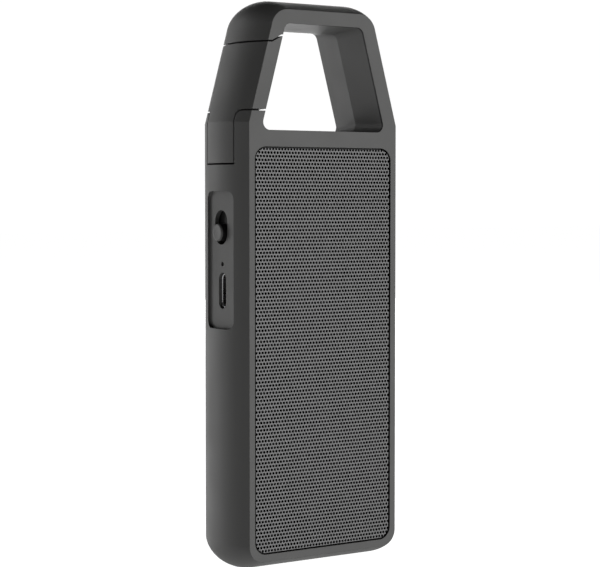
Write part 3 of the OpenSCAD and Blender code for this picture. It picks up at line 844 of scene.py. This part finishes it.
def socket_contacts():
    """Gold contact strips on both faces of the socket's blade."""
    low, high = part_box("usb_tongue")
    strips, pitch = 12, 0.5 * MM
    width, length, thickness = 0.26 * MM, 2.2 * MM, 0.03 * MM
    middle_x = low.x + 1.2 * MM + length / 2
    middle_z = (low.z + high.z) / 2
    shaped = bmesh.new()
    for side, y in ((-1, low.y), (1, high.y)):
        for i in range(strips):
            z = middle_z + (i - (strips - 1) / 2) * pitch
            made = bmesh.ops.create_cube(shaped, size=1)["verts"]
            bmesh.ops.scale(shaped, vec=(length, thickness, width), verts=made)
            bmesh.ops.translate(shaped, vec=(middle_x, y + side * thickness / 2, z), verts=made)
    bmesh.ops.bevel(shaped, geom=list(shaped.edges), offset=0.008 * MM, segments=1, affect="EDGES")
    mesh = bpy.data.meshes.new("socket_contacts")
    shaped.to_mesh(mesh)
    shaped.free()
    return add_piece("socket_contacts", mesh, "gold_flex", "case")


def double_grid(name, columns, rows, place):
    """Closed sheet: a front and a back grid of points, joined by a wall round their rim.

    place(u, v, back) gives a point: u and v go from -1 to 1, and back is 0 on the front and 1 on the back.
    """
    verts = [
        place(2 * i / columns - 1, 2 * j / rows - 1, back)
        for back in (0, 1)
        for j in range(rows + 1)
        for i in range(columns + 1)
    ]
    side = (columns + 1) * (rows + 1)

    def at(i, j, back):
        return back * side + j * (columns + 1) + i

    faces = []
    for j in range(rows):
        for i in range(columns):
            a, b, c, d = at(i, j, 0), at(i + 1, j, 0), at(i + 1, j + 1, 0), at(i, j + 1, 0)
            faces += [(a, b, c, d), (a + side, d + side, c + side, b + side)]
    rim = [(i, 0) for i in range(columns)] + [(columns, j) for j in range(rows)]
    rim += [(i, rows) for i in range(columns, 0, -1)] + [(0, j) for j in range(rows, 0, -1)]
    for (i, j), (k, l) in zip(rim, rim[1:] + rim[:1]):
        faces.append((at(k, l, 0), at(i, j, 0), at(i, j, 1), at(k, l, 1)))
    mesh = bpy.data.meshes.new(name)
    mesh.from_pydata(verts, [], faces)
    smooth(mesh, 60)
    return mesh


def stretched_cloth():
    """Dust cloth behind the grille, drawn tight, with faint hollows between its dots of glue."""
    low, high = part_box("dust_cloth")
    width, length, depth = high.x - low.x, high.z - low.z, high.y - low.y
    corner = 2.7 * MM
    mid_z, thin = (low.z + high.z) / 2, depth * 0.6
    rim, wave_x, wave_z = 2 * MM, 2.1 * MM, 2.6 * MM

    def slack(x, z):
        """Depth of the cloth's hollows, nought at its rim."""
        inside = inside_rounded(x, z, width / 2, low.z, high.z, corner)
        rise = min(1, max(0, inside / rim))
        wave = math.sin(x / wave_x) * math.sin((z - mid_z) / wave_z)
        return rise * (depth - thin) * 0.5 * (1 + wave)

    def place(u, v, back):
        """A grid point, moved in to the rounded outline."""
        x, z = u * width / 2, mid_z + v * length / 2
        lim_x, lim_z = width / 2 - corner, length / 2 - corner
        dx, dz = abs(x) - lim_x, abs(z - mid_z) - lim_z
        if dx > 0 and dz > 0:
            scale = max(dx, dz) / math.hypot(dx, dz)
            x = math.copysign(lim_x + dx * scale, x)
            z = mid_z + math.copysign(lim_z + dz * scale, z - mid_z)
        return x, low.y + slack(x, z) + back * thin, z

    mesh = double_grid("dust_cloth_woven", 72, 176, place)
    piece = add_piece("dust_cloth_woven", mesh, "cloth", "case", ["dust_cloth"])
    return piece


def foam_frame(name, node, outer_r, rim, inner_r):
    """Foam gasket squeezed between two faces: a frame whose two sides bulge."""
    low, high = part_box(node)
    y_mid, half_t = (low.y + high.y) / 2, (high.y - low.y) / 2
    steps = 8
    bulge = half_t / 2

    def ring(inset, r, y):
        points = rounded_outline(high.x - inset, low.z + inset, high.z - inset, r)
        return [(x, y, z) for x, z in points]

    rings = []
    for i in range(steps + 1):
        a = math.radians(180 * i / steps)
        out = bulge * (1 - math.sin(a))
        rings.append(ring(out, outer_r - out, y_mid - half_t * math.cos(a)))
    for i in range(steps + 1):
        a = math.radians(180 * i / steps)
        inward = rim - bulge * (1 - math.sin(a))
        rings.append(ring(inward, max(inner_r, 0.2 * MM), y_mid + half_t * math.cos(a)))
    rings.append(rings[0])
    mesh = loft(name, rings, closed_ends=False)
    joined = bmesh.new()
    joined.from_mesh(mesh)
    bmesh.ops.remove_doubles(joined, verts=joined.verts, dist=1e-7)
    bmesh.ops.recalc_face_normals(joined, faces=joined.faces)
    joined.to_mesh(mesh)
    joined.free()
    smooth(mesh, 60)
    piece = add_piece(name, mesh, "foam", "case", [node])
    return piece


def foam_pad():
    """Pad between the battery and the board: crowned faces and sides that pull in between its corners."""
    low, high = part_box("battery_pad")
    size, middle = high - low, (low + high) / 2
    pull, rim_share = 0.35 * MM, 0.45

    def place(u, v, back):
        crown = (1 - u ** 8) * (1 - v ** 8)
        half_t = size.y / 2 * (rim_share + (1 - rim_share) * crown)
        return (
            middle.x + u * (size.x / 2 - pull * (1 - v * v)),
            middle.y + (2 * back - 1) * half_t,
            middle.z + v * (size.z / 2 - pull * (1 - u * u)),
        )

    mesh = double_grid("battery_pad_foam", 24, 32, place)
    piece = add_piece("battery_pad_foam", mesh, "foam", "case", ["battery_pad"])
    return piece


# ---------- the scene ----------

bpy.context.scene.view_settings.view_transform = "Standard"
add_camera()
add_world()
add_floor()
for name, yaw, power in LIGHTS:
    add_softbox(name, yaw, power)

for node, piece in nodes.items():
    dress(piece, slot_of[node])

perforated_grille()
stretched_cloth()
foam_frame("grille_gasket_foam", "grille_gasket", 2.8 * MM, 1.2 * MM, 2.4 * MM)
foam_frame("back_gasket_foam", "back_gasket", 3.0 * MM, 0.9 * MM, 2.2 * MM)
foam_pad()
turned_knob()
rolled_socket_shell()
socket_contacts()
